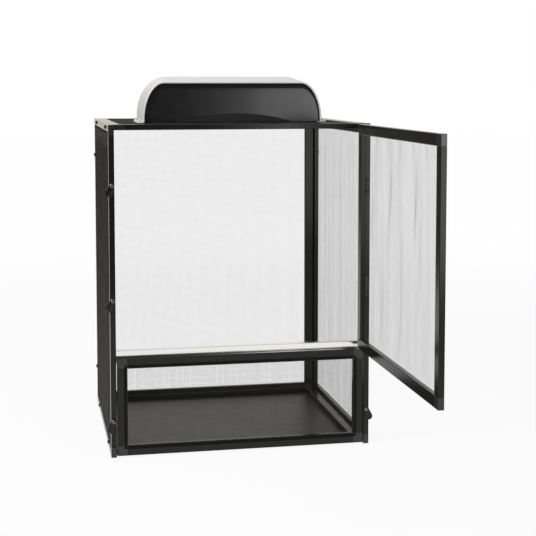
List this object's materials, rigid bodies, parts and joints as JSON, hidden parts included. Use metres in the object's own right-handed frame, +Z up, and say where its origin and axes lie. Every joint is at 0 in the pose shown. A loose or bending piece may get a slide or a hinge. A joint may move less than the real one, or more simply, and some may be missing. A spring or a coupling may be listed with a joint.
{
  "type": "mesh reptile cage",
  "caption": "Upright screen cage of black bar-framed mesh panels, with a hinged front door, a lower flap door, turn latches and a light hood on top.",
  "frame": {"origin": "centre of the cage's footprint, on the surface that it stands on", "axes": "+X to the right seen from the doors, +Y to the back, +Z up"},
  "size_m": [0.4174, 0.7455, 0.581],
  "materials": {
    "black_bar": "black coated aluminium bar, satin gloss",
    "corner_plastic": "moulded nylon, satin",
    "screen_mesh": "black coated screen cloth",
    "spline_rubber": "soft matt cord",
    "floor_plastic": "flat plastic sheet",
    "mill_aluminium": "bright mill finish",
    "black_screw": "black zinc",
    "hinge_steel": "dark coated steel",
    "bright_steel": "bright zinc",
    "latch_plastic": "gloss black moulding",
    "hood_silver": "silver paint, satin",
    "hood_black": "gloss black moulding",
    "white_plastic": "white moulding",
    "white_reflector": "white painted sheet",
    "white_board": "white solder mask",
    "led_resin": "yellow phosphor resin",
    "clear_plastic": "clear sheet"
  },
  "bodies": {
    "cage": {"left_stiles": "black_bar", "left_rails": "black_bar", "left_corner_blocks": "corner_plastic", "right_stiles": "black_bar", "right_rails": "black_bar", "right_corner_blocks": "corner_plastic", "back_stiles": "black_bar", "back_rails": "black_bar", "back_corner_blocks": "corner_plastic", "top_stiles": "black_bar", "top_rails": "black_bar", "top_corner_blocks": "corner_plastic", "base_stiles": "black_bar", "base_rails": "black_bar", "base_corner_blocks": "corner_plastic", "left_mesh": "screen_mesh", "left_spline": "spline_rubber", "right_mesh": "screen_mesh", "right_spline": "spline_rubber", "back_mesh": "screen_mesh", "back_spline": "spline_rubber", "top_mesh": "screen_mesh", "top_spline": "spline_rubber", "floor_sheet": "floor_plastic", "floor_screws": "bright_steel", "mid_crossbar": "mill_aluminium", "crossbar_plugs": "corner_plastic", "left_panel_screws": "black_screw", "right_panel_screws": "black_screw", "frame_hinge_leaves": "hinge_steel", "frame_hinge_screws": "hinge_steel", "hinge_pins": "hinge_steel", "latch_rivets": "bright_steel"},
    "main_door": {"main_door_stiles": "black_bar", "main_door_rails": "black_bar", "main_door_corner_blocks": "corner_plastic", "main_door_mesh": "screen_mesh", "main_door_spline": "spline_rubber", "door_hinge_leaves": "hinge_steel", "door_hinge_rivets": "hinge_steel"},
    "lower_door": {"lower_door_stiles": "black_bar", "lower_door_rails": "black_bar", "lower_door_corner_blocks": "corner_plastic", "lower_door_mesh": "screen_mesh", "lower_door_spline": "spline_rubber", "lower_door_pivot_pins": "bright_steel"},
    "upper_latch": {"upper_latch": "latch_plastic"},
    "lower_latch": {"lower_latch": "latch_plastic"},
    "left_catch": {"left_catch": "latch_plastic"},
    "right_catch": {"right_catch": "latch_plastic"},
    "light_hood": {"hood_shell": "hood_silver", "hood_front_panel": "hood_black", "hood_back_panel": "hood_black", "hood_feet": "white_plastic", "hood_reflector": "white_reflector", "hood_led_board": "white_board", "hood_leds": "led_resin", "hood_diffuser": "clear_plastic", "hood_grommet": "spline_rubber"}
  },
  "joints": [
    {"name": "main_door_swing", "type": "hinge", "parent": "cage", "child": "main_door", "pos_m": [0.1939, -0.1803, 0.3312], "axis": [0, 0, 1], "range_deg": [-90, 90]},
    {"name": "lower_door_swing", "type": "hinge", "parent": "cage", "child": "lower_door", "pos_m": [0, -0.17375, 0.1496], "axis": [-1, 0, 0], "range_deg": [0, 90]},
    {"name": "upper_latch_turn", "type": "hinge", "parent": "cage", "child": "upper_latch", "pos_m": [-0.19875, -0.1784, 0.417], "axis": [0, -1, 0], "range_deg": [0, 110]},
    {"name": "lower_latch_turn", "type": "hinge", "parent": "cage", "child": "lower_latch", "pos_m": [-0.19875, -0.1784, 0.242], "axis": [0, -1, 0], "range_deg": [0, 110]},
    {"name": "left_catch_turn", "type": "hinge", "parent": "cage", "child": "left_catch", "pos_m": [-0.19875, -0.1784, 0.056], "axis": [0, -1, 0], "range_deg": [0, 110]},
    {"name": "right_catch_turn", "type": "hinge", "parent": "cage", "child": "right_catch", "pos_m": [0.19875, -0.1784, 0.056], "axis": [0, 1, 0], "range_deg": [0, 110]},
    {"name": "hood_lift", "type": "slide", "parent": "cage", "child": "light_hood", "axis": [0, 0, 1], "range_m": [0, 0.15]}
  ]
}
